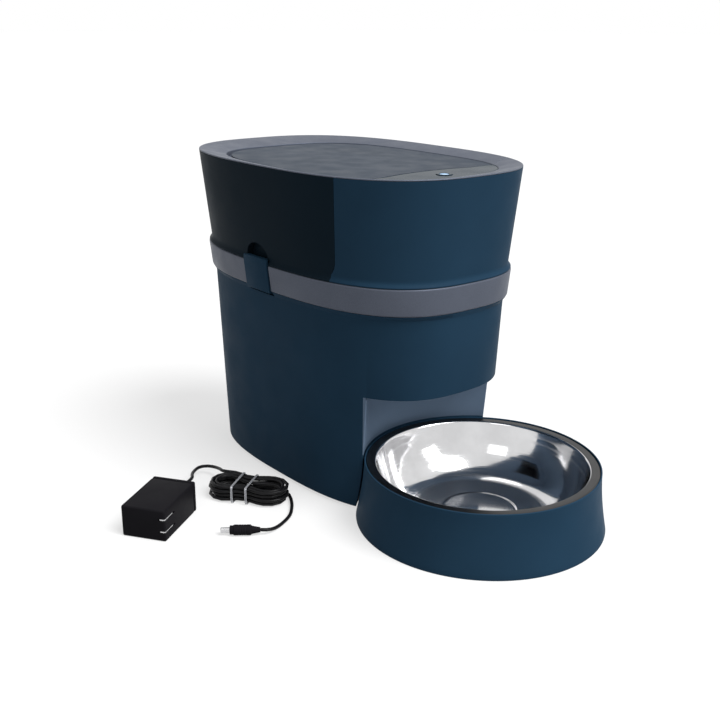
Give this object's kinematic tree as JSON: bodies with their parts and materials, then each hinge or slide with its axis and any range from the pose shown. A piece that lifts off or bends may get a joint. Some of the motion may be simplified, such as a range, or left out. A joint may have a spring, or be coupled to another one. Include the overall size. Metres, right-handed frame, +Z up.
{
  "type": "pet food dispenser",
  "caption": "Automatic dry food dispenser: lift-off hopper with hinged lid on a tapered oval housing, belt conveyor, bowl in a round holder that slides into a niche, and a corded adapter.",
  "frame": {"origin": "on the floor, midway between the back of the housing and the front of the bowl holder", "axes": "+X from the housing towards the bowl, +Y to the left seen from behind it, +Z up"},
  "size_m": [0.5098, 0.4175, 0.335],
  "materials": {
    "navy_plastic": "fine satin texture",
    "tinted_plastic": "dark smoked, slightly see-through",
    "silver_paint": "satin silver paint on plastic",
    "lid_plastic": "semi-gloss grey-blue",
    "panel_gloss": "high gloss",
    "status_lens": "translucent lens",
    "rubber": "matte",
    "frame_plastic": "plain moulded",
    "gear_acetal": "smooth natural",
    "steel": "polished",
    "circuit_board": "solder mask",
    "black_plastic": "fine texture",
    "cord_jacket": "soft matte jacket",
    "tie_wire": "clear-coated wire"
  },
  "bodies": {
    "housing": {"lower_housing": "navy_plastic", "front_shell": "navy_plastic", "trim_band": "silver_paint", "front_cap": "silver_paint", "control_panel": "panel_gloss", "rubber_foot_1": "rubber", "rubber_foot_2": "rubber", "rubber_foot_3": "rubber", "rubber_foot_4": "rubber", "conveyor_belt": "rubber", "inner_deck": "frame_plastic", "conveyor_frame": "frame_plastic", "food_chute": "frame_plastic", "base_plate": "frame_plastic", "gearbox": "frame_plastic", "latch_near_pin": "steel", "latch_far_pin": "steel", "drive_motor": "steel", "battery_contact_rear": "steel", "battery_contact_front": "steel", "plug_barrel": "steel", "main_board": "circuit_board", "control_board": "circuit_board", "adapter_case": "black_plastic", "adapter_cap": "black_plastic", "adapter_strain_relief": "black_plastic", "plug_grip": "black_plastic", "power_inlet": "black_plastic", "cord_hank": "cord_jacket", "cord_from_adapter": "cord_jacket", "cord_to_plug": "cord_jacket", "cord_tie": "tie_wire"},
    "hopper": {"hopper": "tinted_plastic", "lid_rim": "silver_paint"},
    "lid": {"lid": "lid_plastic", "lid_seal": "rubber"},
    "latch_near": {"latch_near": "navy_plastic"},
    "latch_far": {"latch_far": "navy_plastic"},
    "feed_button": {"feed_button": "panel_gloss", "status_light": "status_lens"},
    "drive_roller": {"drive_roller": "gear_acetal", "roller_gear": "gear_acetal"},
    "idler_roller": {"idler_roller": "gear_acetal"},
    "motor_pinion": {"motor_pinion": "gear_acetal", "pinion_shaft": "steel"},
    "battery_door": {"battery_door": "frame_plastic"},
    "bowl_holder": {"bowl_holder": "navy_plastic"},
    "steel_bowl": {"steel_bowl": "steel"},
    "folding_prongs": {"folding_prongs": "steel"}
  },
  "joints": [
    {"name": "hopper_lift", "type": "slide", "parent": "housing", "child": "hopper", "axis": [0, 0, 1], "range_m": [0, 0.15]},
    {"name": "lid_hinge", "type": "hinge", "parent": "hopper", "child": "lid", "pos_m": [0.04155, 0, 0.3286], "axis": [0, 1, 0], "range_deg": [0, 95]},
    {"name": "latch_near_hinge", "type": "hinge", "parent": "housing", "child": "latch_near", "pos_m": [-0.08245, -0.10899, 0.211], "axis": [1, 0, 0], "range_deg": [0, 35]},
    {"name": "latch_far_hinge", "type": "hinge", "parent": "housing", "child": "latch_far", "pos_m": [-0.08245, 0.10899, 0.211], "axis": [-1, 0, 0], "range_deg": [0, 35]},
    {"name": "feed_button_press", "type": "slide", "parent": "housing", "child": "feed_button", "axis": [0, 0, -1], "range_m": [0, 0.001], "stiffness_N_per_m": 600, "springref_m": -0.0003},
    {"name": "drive_roller_spin", "type": "hinge", "parent": "housing", "child": "drive_roller", "pos_m": [-0.00045, 0, 0.15], "axis": [0, 1, 0], "continuous": true},
    {"name": "idler_roller_spin", "type": "hinge", "parent": "housing", "child": "idler_roller", "pos_m": [-0.14545, 0, 0.15], "axis": [0, 1, 0], "continuous": true},
    {"name": "motor_pinion_spin", "type": "hinge", "parent": "housing", "child": "motor_pinion", "pos_m": [-0.02745, 0, 0.15], "axis": [0, 1, 0], "continuous": true},
    {"name": "battery_door_hinge", "type": "hinge", "parent": "housing", "child": "battery_door", "pos_m": [-0.14245, 0, 0.0041], "axis": [0, 1, 0], "range_deg": [0, 75]},
    {"name": "bowl_holder_slide", "type": "slide", "parent": "housing", "child": "bowl_holder", "axis": [1, 0, 0], "range_m": [0, 0.15]},
    {"name": "bowl_lift", "type": "slide", "parent": "bowl_holder", "child": "steel_bowl", "axis": [0, 0, 1], "range_m": [0, 0.05]},
    {"name": "prong_fold", "type": "hinge", "parent": "housing", "child": "folding_prongs", "pos_m": [-0.02774, -0.25688, 0.016], "axis": [0, 0, 1], "range_deg": [0, 90]}
  ],
  "couplings": [
    {"joint": "idler_roller_spin", "follows": "drive_roller_spin", "ratio": 1},
    {"joint": "motor_pinion_spin", "follows": "drive_roller_spin", "ratio": -2}
  ]
}
